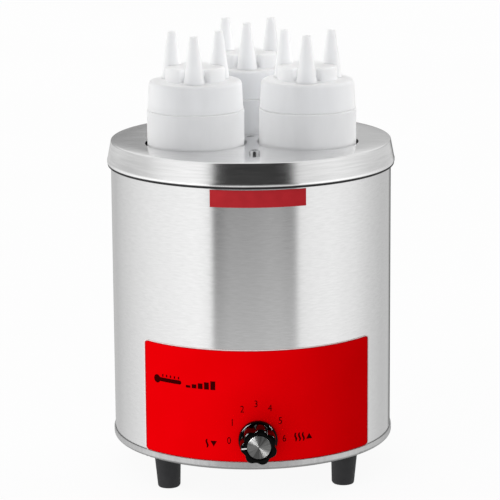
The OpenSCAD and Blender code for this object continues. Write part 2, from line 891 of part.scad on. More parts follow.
module bottle(turn) {
  neck_r = neck_d / 2;
  floor_z = bottle_low + base_recess_h + base_t;
  color(milky) on_circle(bottle_at, turn) rotate_extrude() difference() {
    union() {
      turned(bottle_r, bottle_low, shoulder_z, heel_r, shoulder_r);
      translate([0, shoulder_z - past]) square([neck_r, neck_top - shoulder_z + past]);
    }
    turned(bottle_r - bottle_wall, floor_z, shoulder_z - bottle_wall,
           heel_r - bottle_wall, max(0, shoulder_r - bottle_wall));
    translate([0, shoulder_z - 2 * bottle_wall])
      square([neck_r - bottle_wall, neck_top - shoulder_z + 3 * bottle_wall]);
    translate([0, bottle_low - past]) square([base_recess_r, base_recess_h + past]);
  }
}

module bottle_left() bottle(bottle_turns[0]);
module bottle_right() bottle(bottle_turns[1]);
module bottle_rear() bottle(bottle_turns[2]);

// Half outline of the cap's outside: bead, tapered skirt, rounded shoulder and hub
module cap_outline() {
  low_r = cap_low_d / 2;
  top_r = cap_top_d / 2;
  polygon([
    [0, cap_low],
    [low_r - cap_bead, cap_low],
    [top_r, cap_top - cap_edge_r],
    [0, cap_top - cap_edge_r]
  ]);
  translate([0, cap_top - cap_edge_r]) square([top_r - cap_edge_r, cap_edge_r]);
  translate([top_r - cap_edge_r, cap_top - cap_edge_r]) circle(cap_edge_r);
  turned(low_r, cap_low, cap_low + cap_bead_h, cap_bead_edge_r, cap_bead_edge_r);
  turned(hub_r, cap_top - past, cap_top + hub_h, 0, hub_edge_r);
}

// Half outline of the cap's inside: round the neck, and up into the hub
module cap_hollow_outline() {
  roof = cap_top - cap_wall;
  translate([0, cap_low - past]) square([cap_in_r, roof - cap_low + past]);
  translate([0, roof - past]) square([hub_r - hub_wall, hub_h + past]);
}

module cap(turn, own_turn) {
  tip_r = nozzle_tip_d / 2;
  foot_r = nozzle_foot_d / 2;
  roof = cap_top - cap_wall;
  color(milky) on_circle(bottle_at, turn) rotate([0, 0, own_turn - turn]) difference() {
    union() {
      rotate_extrude() cap_outline();
      for (i = [0 : nozzles - 1]) on_circle(nozzle_at, i * 360 / nozzles)
        translate([0, 0, cap_top]) cylinder(r1 = foot_r, r2 = tip_r, h = nozzle_h);
    }
    rotate_extrude() cap_hollow_outline();
    for (i = [0 : nozzles - 1]) on_circle(nozzle_at, i * 360 / nozzles)
      translate([0, 0, roof - past])
        cylinder(r1 = foot_r - nozzle_wall, r2 = nozzle_hole_d / 2, h = nozzle_h + cap_wall + 2 * past);
  }
}

module cap_left() cap(bottle_turns[0], cap_turns[0]);
module cap_right() cap(bottle_turns[1], cap_turns[1]);
module cap_rear() cap(bottle_turns[2], cap_turns[2]);

casing();
base_pan();
foot_front_left();
foot_front_right();
foot_rear_left();
foot_rear_right();
foot_screws();
water_well();
insulation();
heating_ring();
clamp_plate();
tie_stud();
tie_nuts();
overheat_cutout();
thermostat();
thermostat_nut();
sensor_bulb();
terminal_block();
wiring();
cord_bushing();
panel_sheet();
strip();
knob();
knob_disc();
knob_pointer();
thermostat_shaft();
lid();
lid_screws();
rack_posts();
rack_plate();
rack_nuts();
bottle_left();
bottle_right();
bottle_rear();
cap_left();
cap_right();
cap_rear();
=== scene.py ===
"""Looks of the round hot topping warmer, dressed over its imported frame. Metres, +Z up, front towards -Y."""

import math

import bmesh
import bpy
from mathutils import Matrix, Vector


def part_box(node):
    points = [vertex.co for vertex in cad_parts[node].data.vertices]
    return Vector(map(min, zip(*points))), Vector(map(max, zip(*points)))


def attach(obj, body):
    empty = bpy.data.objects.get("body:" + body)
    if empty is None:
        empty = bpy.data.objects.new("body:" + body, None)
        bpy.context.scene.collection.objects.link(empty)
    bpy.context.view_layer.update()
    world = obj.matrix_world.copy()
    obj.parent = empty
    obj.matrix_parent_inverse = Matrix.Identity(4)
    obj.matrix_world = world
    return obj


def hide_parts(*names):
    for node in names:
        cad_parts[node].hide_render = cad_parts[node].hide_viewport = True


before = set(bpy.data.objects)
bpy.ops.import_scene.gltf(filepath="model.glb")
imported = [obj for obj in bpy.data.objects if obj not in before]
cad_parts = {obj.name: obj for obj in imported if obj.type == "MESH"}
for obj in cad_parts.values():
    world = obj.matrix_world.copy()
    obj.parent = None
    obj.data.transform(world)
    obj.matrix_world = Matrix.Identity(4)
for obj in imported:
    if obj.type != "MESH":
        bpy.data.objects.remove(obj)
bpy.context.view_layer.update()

MM = 0.001


def corners(node):
    """Lowest and highest corner of a CAD node at rest, in millimetres."""
    low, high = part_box(node)
    return low / MM, high / MM


# Squeeze bottles and caps: turns from the front in degrees, the rest in millimetres
BOTTLE_TURNS = {"left": -60.0, "right": 60.0, "rear": 180.0}
CAP_TURNS = {"left": -3.0, "right": -5.0, "rear": -4.0}
bottle_low, bottle_high = corners("bottle_rear")
BOTTLE_AT = (bottle_low.y + bottle_high.y) / 2
BOTTLE_R = (bottle_high.x - bottle_low.x) / 2
BOTTLE_LOW, NECK_TOP = bottle_low.z, bottle_high.z
BOTTLE_WALL = 1.2
NECK_R = 30.3
CAP_H, HUB_H = 20.8, 10.2
CAP_GAP = 0.06
cap_low, cap_high = corners("cap_rear")
CAP_R = (cap_high.x - cap_low.x) / 2
CAP_LOW, NOZZLE_TIP = cap_low.z, cap_high.z
CAP_TOP = CAP_LOW + CAP_H
HUB_TOP = CAP_TOP + HUB_H
SHOULDER = CAP_LOW - CAP_GAP
NOZZLE_AT = 19.7
NOZZLES = 3

# Lid, in millimetres
lid_low, lid_high = corners("lid")
LID_R = (lid_high.x - lid_low.x) / 2
LID_TOP, HEM_LOW = lid_high.z, lid_low.z
LID_SHEET = 0.5
BOTTLE_HOLE_R = 37.2
VENT_R = 2.8
SCREW_HOLE_R, SCREW_HEAD_R = 2.15, 4.0
screws_low = corners("lid_screws")[0]
SCREW_AT = -screws_low.y - SCREW_HEAD_R
SCREW_TURNS = (0, 120, 240)

# Panel film: middle turn and half spread in degrees, the rest in millimetres
film_low, film_high = corners("panel_sheet")
FILM_R = -film_low.y
film_left = math.degrees(math.asin(film_low.x / FILM_R))
film_right = math.degrees(math.asin(film_high.x / FILM_R))
FILM_TURN = (film_left + film_right) / 2
FILM_HALF = (film_right - film_left) / 2
FILM_LOW, FILM_TOP = film_low.z, film_high.z
FILM_CORNER = 2.4
INK_PROUD = 0.03
# Longest straight step of print and film edge that still lies round the drum
PRINT_STEP = 4

# Knob and its disc: the pointer's droop in degrees, the rest in millimetres
knob_low, knob_high = corners("knob")
disc_low, disc_high = corners("knob_disc")
KNOB_Z = (knob_low.z + knob_high.z) / 2
KNOB_R = (knob_high.x - knob_low.x) / 2
KNOB_BACK = -knob_high.y
KNOB_H = knob_high.y - knob_low.y
GRIP_R = 13.3
FLUTES = 7
POINTER_DROOP = 4.0
DISC_R = (disc_high.x - disc_low.x) / 2

# Camera of the photograph: pixels are of the square picture, lengths are in millimetres
PHOTO_PIXELS = 500
FOCAL_PIXELS = 2608.5
AXIS_PIXEL_X = 251.5
LEVEL_PIXEL_Y = 250.4
SENSOR = 36.0
CAMERA_AWAY = 1899.6
CAMERA_HEIGHT = 584.8
CAMERA_TURN = -2.0
CAMERA_PITCH = 12.56
CAMERA_ROLL = 0.41

# Brightest level of the studio walls
BRIGHTEST = 4.0

# Levels between which Blender's noise nearly always stays
NOISE_LOW, NOISE_HIGH = 0.3, 0.7


def linear(hex_colour):
    """sRGB hex value to the linear colour that the shaders take."""
    value = hex_colour.lstrip("#")
    parts = [int(value[i : i + 2], 16) / 255 for i in (0, 2, 4)]
    parts = [p / 12.92 if p <= 0.04045 else ((p + 0.055) / 1.055) ** 2.4 for p in parts]
    return (*parts, 1.0)


def grey(level):
    """Grey of a linear level, as the shaders take it."""
    return (level, level, level, 1.0)


def add_node(tree, kind, settings=None, links=None):
    """Adds a node. Lower-case settings are its own, others set its inputs, and links feed them."""
    node = tree.nodes.new(kind)
    for name, value in (settings or {}).items():
        if isinstance(name, str) and name[0].islower():
            setattr(node, name, value)
        else:
            node.inputs[name].default_value = value
    for name, source in (links or {}).items():
        tree.links.new(source, node.inputs[name])
    return node


def new_finish(name, colour, rough, metal=0.0, ior=1.5, gloss=0.5):
    """A material with one Principled shader, and the tree and shader to build on."""
    material = bpy.data.materials.new(name)
    material.use_nodes = True
    tree = material.node_tree
    tree.nodes.clear()
    shader = add_node(tree, "ShaderNodeBsdfPrincipled", {
        "Base Color": linear(colour),
        "Roughness": rough,
        "Metallic": metal,
        "IOR": ior,
        "Specular IOR Level": gloss,
    })
    add_node(tree, "ShaderNodeOutputMaterial", links={"Surface": shader.outputs[0]})
    return material, tree, shader


def grid(tree, x, y=None, z=None):
    """Object coordinates counted in steps of so many millimetres along X, Y and Z."""
    place = add_node(tree, "ShaderNodeTexCoord")
    steps = [1 / (size * MM) for size in (x, y or x, z or x)]
    scaled = add_node(tree, "ShaderNodeMapping", {"Scale": steps}, {"Vector": place.outputs["Object"]})
    return scaled.outputs[0]


def hoop_grid(tree, apart, long):
    """Coordinates for lines that run round the Z axis, so many millimetres apart and long."""
    place = add_node(tree, "ShaderNodeTexCoord")
    axes = add_node(tree, "ShaderNodeSeparateXYZ", links={0: place.outputs["Object"]})
    flat = add_node(tree, "ShaderNodeCombineXYZ", links={0: axes.outputs[0], 1: axes.outputs[1]})
    out = add_node(tree, "ShaderNodeVectorMath", {"operation": "LENGTH"}, {0: flat.outputs[0]})
    rise = add_node(tree, "ShaderNodeMath", {"operation": "ADD"},
                    {0: out.outputs["Value"], 1: axes.outputs[2]})
    joined = add_node(tree, "ShaderNodeCombineXYZ",
                      links={0: axes.outputs[0], 1: axes.outputs[1], 2: rise.outputs[0]})
    steps = (1 / (long * MM), 1 / (long * MM), 1 / (apart * MM))
    scaled = add_node(tree, "ShaderNodeMapping", {"Scale": steps}, {"Vector": joined.outputs[0]})
    return scaled.outputs[0]


def soft_patches(tree, shader, vector, first, second, detail=3.0):
    """Gives the shader a base colour that wanders between two tones."""
    cloud = add_node(tree, "ShaderNodeTexNoise", {"Scale": 1.0, "Detail": detail}, {"Vector": vector})
    share = add_node(tree, "ShaderNodeMapRange", {1: NOISE_LOW, 2: NOISE_HIGH}, {0: cloud.outputs["Fac"]})
    tones = add_node(tree, "ShaderNodeMix", {"data_type": "RGBA", 6: linear(first), 7: linear(second)},
                     {0: share.outputs[0]})
    tree.links.new(tones.outputs[2], shader.inputs["Base Color"])


def worked_surface(tree, shader, vector, smooth, rough, depth=0.0, detail=3.0):
    """Gives the shader a roughness that wanders between two values, and relief of a depth in millimetres."""
    grain = add_node(tree, "ShaderNodeTexNoise", {"Scale": 1.0, "Detail": detail}, {"Vector": vector})
    dullness = add_node(tree, "ShaderNodeMapRange", {1: NOISE_LOW, 2: NOISE_HIGH, 3: smooth, 4: rough},
                        {0: grain.outputs["Fac"]})
    tree.links.new(dullness.outputs[0], shader.inputs["Roughness"])
    if depth:
        relief = add_node(tree, "ShaderNodeBump", {"Distance": depth * MM}, {"Height": grain.outputs["Fac"]})
        tree.links.new(relief.outputs[0], shader.inputs["Normal"])


def turned_grain(tree, shader, axis, amount):
    """Fine lines that run round an axis and blur what is mirrored across them, by an amount from 0 to 1."""
    shader.inputs["Anisotropic"].default_value = amount
    shader.inputs["Anisotropic Rotation"].default_value = 0.25
    around = add_node(tree, "ShaderNodeTangent", {"direction_type": "RADIAL", "axis": axis})
    tree.links.new(around.outputs[0], shader.inputs["Tangent"])


# Materials


def brushed_stainless():
    """Type 304 sheet, belt ground round the drum: fine hoops, 0.2 mm apart when real and drawn 0.7 mm apart.

    The scratches blur what it mirrors up and down and keep it sharp from side to side.
    """
    material, tree, shader = new_finish("brushed_stainless", "#cdcdcd", 0.2, metal=1.0)
    turned_grain(tree, shader, "Z", 0.5)
    worked_surface(tree, shader, hoop_grid(tree, 0.7, 5), 0.13, 0.18, 0.002)
    soft_patches(tree, shader, hoop_grid(tree, 0.9, 6), "#cacaca", "#d0d0d0", detail=2)
    return material


def satin_spun_stainless():
    """Type 304 disc, brushed flat and then spun: straight lines on top and hoops round the skirt.

    The lines are 0.2 mm apart when real and drawn 1 mm apart. Only the hoops blur what they mirror one way.
    """
    material, tree, shader = new_finish("satin_spun_stainless", "#ececec", 0.22, metal=1.0)
    place = add_node(tree, "ShaderNodeTexCoord")
    facing = add_node(tree, "ShaderNodeSeparateXYZ", links={0: place.outputs["Normal"]})
    on_top = add_node(tree, "ShaderNodeMapRange", {1: 0.6, 2: 0.9}, {0: facing.outputs[2]})
    turned_grain(tree, shader, "Z", 0.0)
    on_skirt = add_node(tree, "ShaderNodeMapRange", {3: 0.5, 4: 0.0}, {0: on_top.outputs[0]})
    tree.links.new(on_skirt.outputs[0], shader.inputs["Anisotropic"])
    lines = add_node(tree, "ShaderNodeMix", {"data_type": "VECTOR"},
                     {0: on_top.outputs[0], 4: hoop_grid(tree, 1.0, 9), 5: grid(tree, 12, 1.0, 12)})
    streaks = add_node(tree, "ShaderNodeMix", {"data_type": "VECTOR"},
                       {0: on_top.outputs[0], 4: hoop_grid(tree, 1.4, 30), 5: grid(tree, 40, 3, 40)})
    worked_surface(tree, shader, lines.outputs[1], 0.15, 0.22, 0.002)
    soft_patches(tree, shader, streaks.outputs[1], "#e4e4e4", "#f0f0f0")
    return material


def drawn_stainless():
    """Deep-drawn sheet of the well, pan and rack: dull, with faint draw lines up the wall 2 mm apart."""
    material, tree, shader = new_finish("drawn_stainless", "#bdbdbd", 0.38, metal=1.0)
    worked_surface(tree, shader, grid(tree, 2, 2, 33), 0.32, 0.46)
    soft_patches(tree, shader, grid(tree, 33, 33, 17), "#b2b2b2", "#c4c4c4", detail=4)
    return material


def plated_steel():
    """Zinc-plated screws, nuts and studs: bright, a little cloudy, with a 0.9 mm turned grain."""
    material, tree, shader = new_finish("plated_steel", "#b9babb", 0.16, metal=1.0)
    worked_surface(tree, shader, grid(tree, 0.9), 0.12, 0.22, detail=2)
    soft_patches(tree, shader, grid(tree, 2.5), "#b2b3b4", "#c0c1c2")
    return material


def milky_polyethylene():
    """Low-density polyethylene, blow moulded: satin, with a painted sheen that whitens its base colour where
    it turns away from the view.

    Above the cap's shoulder the base colour is whiter still. This is painted light that stands in for light
    shining through the thin walls.
    """
    material, tree, shader = new_finish("milky_polyethylene", "#e4e5e7", 0.36, ior=1.51, gloss=0.3)
    shader.subsurface_method = "RANDOM_WALK"
    shader.inputs["Subsurface Weight"].default_value = 0.5
    shader.inputs["Subsurface Radius"].default_value = (1.0, 1.0, 1.0)
    shader.inputs["Subsurface Scale"].default_value = 4 * MM
    worked_surface(tree, shader, grid(tree, 1.2), 0.32, 0.42, 0.005, detail=2)
    soft_patches(tree, shader, grid(tree, 17, 17, 55), "#dddee0", "#e5e6e8")
    tones = shader.inputs["Base Color"].links[0].from_socket
    # Painted light: the base colour is mixed towards white where the surface turns away from the view
    # (painted sheen) and above the cap's top (painted light through the thin hub and nozzles).
    place = add_node(tree, "ShaderNodeTexCoord")
    axes = add_node(tree, "ShaderNodeSeparateXYZ", links={0: place.outputs["Object"]})
    thin = add_node(tree, "ShaderNodeMapRange", {1: CAP_TOP * MM, 2: HUB_TOP * MM, 3: 0.0, 4: 0.3},
                    {0: axes.outputs[2]})
    painted_sheen = add_node(tree, "ShaderNodeLayerWeight", {"Blend": 0.5})
    painted_light_share = add_node(tree, "ShaderNodeMath", {"operation": "ADD", "use_clamp": True},
                       {0: painted_sheen.outputs["Facing"], 1: thin.outputs[0]})
    painted_sheen_colour = add_node(tree, "ShaderNodeMix", {"data_type": "RGBA", 7: linear("#fefefe")},
                        {0: painted_light_share.outputs[0], 6: tones})
    tree.links.new(painted_sheen_colour.outputs[2], shader.inputs["Base Color"])
    return material


def red_print_film():
    """Polycarbonate film, red ink printed on its back and the front face matted: deep even red, no gloss."""
    material, tree, shader = new_finish("red_print_film", "#e60006", 0.6, ior=1.5, gloss=0.0)
    worked_surface(tree, shader, grid(tree, 0.7), 0.54, 0.66, 0.002, detail=2)
    soft_patches(tree, shader, grid(tree, 25), "#e40005", "#e80007", detail=2)
    return material


def dark_strip_film():
    """The same film for the strip in a deeper red, which is painted shade for the shade under the lid's hem.
    """
    material, tree, shader = new_finish("dark_strip_film", "#b3222a", 0.5, ior=1.5, gloss=0.1)
    worked_surface(tree, shader, grid(tree, 0.7), 0.44, 0.56, 0.002, detail=2)
    soft_patches(tree, shader, grid(tree, 12), "#ad2028", "#b9252d", detail=2)
    return material


def dark_print_ink():
    """Screen-printed black ink on the film: thin, so a little red shows through it."""
    material, tree, shader = new_finish("dark_print_ink", "#3a0103", 0.5, gloss=0.0)
    soft_patches(tree, shader, grid(tree, 0.7), "#310102", "#430204", detail=2)
    return material


def clear_film_margin():
    """The film's clear margin outside the red ink: milky with a pink cast over the steel."""
    material, tree, shader = new_finish("clear_film_margin", "#f2dcdb", 0.45, gloss=0.3)
    soft_patches(tree, shader, grid(tree, 1.5), "#ecd2d1", "#f6e4e3", detail=2)
    return material


def ink_outline():
    """A second pass of red ink along the film's edge, printed over black: deep red."""
    material, tree, shader = new_finish("ink_outline", "#9c0a14", 0.5, gloss=0.1)
    soft_patches(tree, shader, grid(tree, 1.5), "#920812", "#a60c17", detail=2)
    return material


def moulded_rubber():
    """Nitrile rubber, moulded in a bead-blasted tool: charcoal black, dull, with a 0.4 mm pebble."""
    material, tree, shader = new_finish("moulded_rubber", "#222224", 0.62, ior=1.52, gloss=0.35)
    worked_surface(tree, shader, grid(tree, 0.4), 0.55, 0.72, 0.02, detail=2)
    soft_patches(tree, shader, grid(tree, 11), "#1e1e20", "#28282a")
    return material


def polished_phenolic():
    """Phenolic resin, compression moulded in a polished tool: deep black with small sharp highlights."""
    material, tree, shader = new_finish("polished_phenolic", "#020202", 0.07, ior=1.6, gloss=0.04)
    worked_surface(tree, shader, grid(tree, 4), 0.05, 0.09)
    soft_patches(tree, shader, grid(tree, 4), "#010101", "#030303")
    return material


def spun_aluminium():
    """Aluminium insert, faced on a lathe: rings 0.5 mm apart round the knob's axis throw two bright fans."""
    material, tree, shader = new_finish("spun_aluminium", "#6e6e6d", 0.3, metal=1.0)
    turned_grain(tree, shader, "Y", 0.95)
    place = add_node(tree, "ShaderNodeTexCoord")
    moved = add_node(tree, "ShaderNodeVectorMath", {"operation": "SUBTRACT", 1: (0, 0, KNOB_Z * MM)},
                     {0: place.outputs["Object"]})
    axes = add_node(tree, "ShaderNodeSeparateXYZ", links={0: moved.outputs[0]})
    flat = add_node(tree, "ShaderNodeCombineXYZ", links={0: axes.outputs[0], 1: axes.outputs[2]})
    out = add_node(tree, "ShaderNodeVectorMath", {"operation": "LENGTH"}, {0: flat.outputs[0]})
    count = add_node(tree, "ShaderNodeMath", {"operation": "MULTIPLY", 1: 1 / (0.5 * MM)},
                     {0: out.outputs["Value"]})
    rings = add_node(tree, "ShaderNodeCombineXYZ", links={0: count.outputs[0]})
    worked_surface(tree, shader, rings.outputs[0], 0.36, 0.46, detail=2)
    ray = add_node(tree, "ShaderNodeVectorMath", {"operation": "NORMALIZE"}, {0: flat.outputs[0]})
    sectors = add_node(tree, "ShaderNodeVectorMath", {"operation": "SCALE", "Scale": 4.0},
                       {0: ray.outputs[0]})
    soft_patches(tree, shader, sectors.outputs[0], "#565655", "#8a8a89", detail=2)
    return material


def white_inlay():
    """White paint filled into the pointer's groove and wiped flush."""
    material, tree, shader = new_finish("white_inlay", "#f2f2f0", 0.45)
    soft_patches(tree, shader, grid(tree, 1.1), "#e6e6e3", "#f6f6f5", detail=2)
    return material


def oxidised_sheath():
    """Nickel alloy heater tube, annealed in air: dark grey-brown oxide, patchy."""
    material, tree, shader = new_finish("oxidised_sheath", "#4c463f", 0.5, metal=0.85)
    worked_surface(tree, shader, grid(tree, 8), 0.42, 0.6, detail=4)
    soft_patches(tree, shader, grid(tree, 8), "#3c3833", "#5f574c", detail=4)
    return material


def drawn_copper():
    """Copper bulb and capillary, drawn and lightly tarnished."""
    material, tree, shader = new_finish("drawn_copper", "#b56a48", 0.34, metal=1.0)
    soft_patches(tree, shader, grid(tree, 5), "#9c5a3c", "#c27a55")
    return material


def ivory_phenolic():
    """Unpolished moulding of the thermostat body and terminal block: ivory, dry and slightly mottled."""
    material, tree, shader = new_finish("ivory_phenolic", "#ddd4bd", 0.55)
    soft_patches(tree, shader, grid(tree, 3.3), "#d6ccb2", "#e3dbc7")
    return material


def brown_phenolic():
    """Brown moulding of the overheat cut-out: dark, dry, with flow marks."""
    material, tree, shader = new_finish("brown_phenolic", "#5c3520", 0.5)
    soft_patches(tree, shader, grid(tree, 4, 4, 2), "#4d2b19", "#6b4029")
    return material


def silicone_sleeve():
    """White silicone wire sleeve, extruded: soft, slightly dusty."""
    material, tree, shader = new_finish("silicone_sleeve", "#e7e5df", 0.6)
    soft_patches(tree, shader, grid(tree, 2), "#dcdad3", "#efede8", detail=2)
    return material


def needled_blanket():
    """Ceramic fibre blanket, needled: off-white felt with 3 mm tufts."""
    material, tree, shader = new_finish("needled_blanket", "#e4dcc4", 0.95, gloss=0.1)
    worked_surface(tree, shader, grid(tree, 3), 0.9, 1.0, 0.8, detail=5)
    soft_patches(tree, shader, grid(tree, 3), "#d3c9ac", "#efe9d8", detail=5)
    return material


def lit_table():
    """Matt white table top, lit from below so that the ground stays an even white."""
    material, tree, shader = new_finish("lit_table", "#505050", 0.9, gloss=0.0)
    soft_patches(tree, shader, grid(tree, 500), "#4e4e4e", "#525252", detail=2)
    shader.inputs["Emission Color"].default_value = grey(1.0)
    shader.inputs["Emission Strength"].default_value = 0.92
    return material


# Mesh work


def new_piece(name, mesh_data, material, body, smooth_angle=35.0):
    """A piece of one material that rides on a body, smooth up to an angle in degrees."""
    piece = bpy.data.objects.new(name, mesh_data)
    bpy.context.scene.collection.objects.link(piece)
    mesh_data.materials.clear()
    mesh_data.materials.append(material)
    mesh_data.shade_smooth()
    mesh_data.set_sharp_from_angle(angle=math.radians(smooth_angle))
    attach(piece, body)
    return piece


def mesh_of(bm, name):
    """Ends the mesh work: the faces look outward and the mesh is named."""
    bmesh.ops.recalc_face_normals(bm, faces=bm.faces)
    data = bpy.data.meshes.new(name)
    bm.to_mesh(data)
    bm.free()
    return data


def ring(bm, centre, r, height, steps):
    """A closed row of points about an upright axis; radius and height are in millimetres."""
    return [bm.verts.new((centre.x + r * MM * math.cos(a), centre.y + r * MM * math.sin(a), height * MM))
            for a in (2 * math.pi * k / steps for k in range(steps))]


def skin(bm, rows, closed=False):
    """Faces between neighbouring rows of as many points, and from the last row to the first if closed."""
    for low, high in zip(rows, rows[1:] + rows[:1] if closed else rows[1:]):
        for k in range(len(low)):
            n = (k + 1) % len(low)
            face_points = list(dict.fromkeys((low[k], low[n], high[n], high[k])))
            if len(face_points) > 2:
                bm.faces.new(face_points)


def lathe(bm, outline, steps, closed=True):
    """Turns an outline of (radius, height) in millimetres about Z; a point on the axis is one vertex."""
    rows = []
    for r, z in outline:
        if r < 1e-6:
            rows.append([bm.verts.new((0, 0, z * MM))] * steps)
        else:
            rows.append(ring(bm, Vector(), r, z, steps))
    skin(bm, rows, closed)


def arc(centre, r, start, end, steps=6):
    """Points of an arc about a centre, from start to end in degrees."""
    return [(centre[0] + r * math.cos(math.radians(start + (end - start) * k / steps)),
             centre[1] + r * math.sin(math.radians(start + (end - start) * k / steps)))
            for k in range(steps + 1)]


def at_turn(radius, turn):
    """Point on a circle, a turn counted from the front towards +X, in metres."""
    a = math.radians(turn)
    return Vector((radius * MM * math.sin(a), -radius * MM * math.cos(a), 0))


# Squeeze bottles and caps


def bottle_outline():
    """Half outline of the blow-moulded bottle, up its outside and down its inside.

    Up: pushed-up base, heel, wall, shoulder, neck thread and rim.
    """
    heel, bend, rim, floor = 5.0, 1.25, 0.6, 3.0
    foot_r, foot_edge, push_up = 27.2, 0.7, 1.6
    threads, thread_low, pitch, thread_h = 3, 3.9, 4.2, 0.75
    crest_low, crest_high, thread_w = 0.7, 1.1, 2.2
    # Points at mid wall, which keep the shading of the straight wall even
    wall_low, wall_high = 120, 200
    inner_r = BOTTLE_R - BOTTLE_WALL
    bend_at = (BOTTLE_R - bend, SHOULDER - bend)
    rim_at = (NECK_R - rim, NECK_TOP - rim)
    outside = [(0, BOTTLE_LOW + push_up + 0.1), (foot_r - 2.7, BOTTLE_LOW + push_up)]
    outside += [(foot_r, BOTTLE_LOW + foot_edge)]
    outside += arc((BOTTLE_R - heel, BOTTLE_LOW + heel), heel, -105, 0, 7)
    outside += [(BOTTLE_R, wall_low), (BOTTLE_R, wall_high)]
    outside += arc(bend_at, bend, 0, 90, 6)
    outside += [(NECK_R + 0.5, SHOULDER - 0.05), (NECK_R, SHOULDER + 0.55)]
    for k in range(threads):
        z = SHOULDER + thread_low + pitch * k
        outside += [(NECK_R, z), (NECK_R + thread_h, z + crest_low), (NECK_R + thread_h, z + crest_high),
                    (NECK_R, z + thread_w)]
    outside += arc(rim_at, rim, 0, 90, 4)
    inside = arc(rim_at, rim, 90, 180, 4)
    inside += [(NECK_R - BOTTLE_WALL, SHOULDER + 0.5), (NECK_R - 0.7, SHOULDER - BOTTLE_WALL)]
    inside += arc(bend_at, bend - BOTTLE_WALL, 90, 0, 4)
    inside += [(inner_r, wall_high)]
    inside += arc((BOTTLE_R - heel, BOTTLE_LOW + floor + heel - BOTTLE_WALL), heel - BOTTLE_WALL, 0, -90, 6)
    inside += [(0, BOTTLE_LOW + floor)]
    return outside + inside


def make_bottle(side, material):
    """One squeeze bottle, standing in its hole of the lid."""
    name = f"squeeze_bottle_{side}"
    bm = bmesh.new()
    lathe(bm, bottle_outline(), 128, closed=False)
    bmesh.ops.translate(bm, verts=bm.verts, vec=at_turn(BOTTLE_AT, BOTTLE_TURNS[side]))
    piece = new_piece(name, mesh_of(bm, name), material, f"bottle_{side}", 40)
    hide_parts(f"bottle_{side}")
    return piece


def cap_outline():
    """Half outline of the cap's shell, up its outside and down its inside.

    Up: rolled bead, tapered skirt, rounded shoulder and hub. Down: the hollow hub and the bore.
    """
    top_r, edge, bead = 33.8, 2.6, 0.6
    bead_h, skirt_in = 1.3, 0.38
    hub_r, hub_edge, hub_foot, hub_flat_r = 21.8, 1.6, 0.9, 14
    bore_r, bore_edge, bore_rim = 31.2, 0.8, 0.4
    hub_bore_r, hub_bore_edge, roof = 20.3, 1.0, 1.8
    outside = arc((CAP_R - bead, CAP_LOW + bead), bead, -90, 0, 4)
    outside += [(CAP_R, CAP_LOW + bead_h), (CAP_R - 0.3, CAP_LOW + 2.0), (CAP_R - skirt_in, CAP_LOW + 6)]
    outside += [(top_r + 0.1, CAP_TOP - edge - 0.8)]
    outside += arc((top_r - edge, CAP_TOP - edge), edge, 0, 90, 8)
    outside += [(hub_r + hub_foot + 0.3, CAP_TOP)]
    outside += arc((hub_r + hub_foot, CAP_TOP + hub_foot), hub_foot, -90, -180, 4)
    outside += arc((hub_r - hub_edge, HUB_TOP - hub_edge), hub_edge, 0, 90, 5)
    outside += [(hub_flat_r, HUB_TOP), (0, HUB_TOP)]
    inside = [(0, HUB_TOP - roof)]
    inside += arc((hub_bore_r - hub_bore_edge, HUB_TOP - roof - hub_bore_edge), hub_bore_edge, 90, 0, 3)
    inside += [(hub_bore_r, CAP_TOP - 1.2), (hub_bore_r + 0.6, CAP_TOP - roof)]
    inside += arc((bore_r - bore_edge, CAP_TOP - roof - bore_edge), bore_edge, 90, 0, 3)
    inside += [(bore_r, CAP_LOW + 6), (bore_r, CAP_LOW + bore_rim), (bore_r + bore_rim, CAP_LOW)]
    return outside + inside


def nozzle_outline():
    """Half outline of one nozzle: flared foot, straight taper and rounded tip, then down its bore."""
    tip_r, tip_edge, bore_r, bore_edge = 3.05, 0.5, 1.4, 0.2
    flare = [(8.7, -0.25), (7.8, 0.15), (7.4, 0.8), (7.2, 1.8)]
    waist_r, waist_h = 5.35, 17.5
    bore_foot = [(1.75, 7.7), (1.9, 1.2), (0, 0.7)]
    outside = [(r, CAP_TOP + rise) for r, rise in flare]
    outside += [(waist_r, CAP_TOP + waist_h)]
    outside += arc((tip_r - tip_edge, NOZZLE_TIP - tip_edge), tip_edge, 15, 90, 4)
    inside = arc((bore_r + bore_edge, NOZZLE_TIP - bore_edge), bore_edge, 90, 180, 2)
    inside += [(bore_r, NOZZLE_TIP - 6.5)]
    inside += [(r, HUB_TOP + rise) for r, rise in bore_foot]
    return outside + inside


def press_hub(bm, first_turn):
    """Presses a valley into the hub's wall beside each nozzle; valley and spread are turns in degrees."""
    valley, spread, deep = 22.5, 5.5, 3.6
    wall_low, wall_in = CAP_TOP + 0.6, 15
    apart = 360 / NOZZLES
    for v in bm.verts:
        r = math.hypot(v.co.x, v.co.y) / MM
        if v.co.z > wall_low * MM and r > wall_in:
            turn = math.degrees(math.atan2(v.co.x, -v.co.y)) - first_turn
            beside = abs((turn + apart / 2) % apart - apart / 2)
            push = deep * math.exp(-((beside - valley) / spread) ** 2)
            v.co.x *= 1 - push / r
            v.co.y *= 1 - push / r


def make_cap(side, material):
    """One cap with its nozzles, screwed down over its bottle's neck."""
    name = f"three_nozzle_cap_{side}"
    bm = bmesh.new()
    lathe(bm, cap_outline(), 192)
    press_hub(bm, CAP_TURNS[side])
    for k in range(NOZZLES):
        before = set(bm.verts)
        lathe(bm, nozzle_outline(), 40, closed=False)
        fresh = [v for v in bm.verts if v not in before]
        bmesh.ops.translate(bm, verts=fresh, vec=at_turn(NOZZLE_AT, CAP_TURNS[side] + 360 / NOZZLES * k))
    bmesh.ops.translate(bm, verts=bm.verts, vec=at_turn(BOTTLE_AT, BOTTLE_TURNS[side]))
    piece = new_piece(name, mesh_of(bm, name), material, f"cap_{side}", 40)
    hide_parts(f"cap_{side}")
    return piece


# Lid


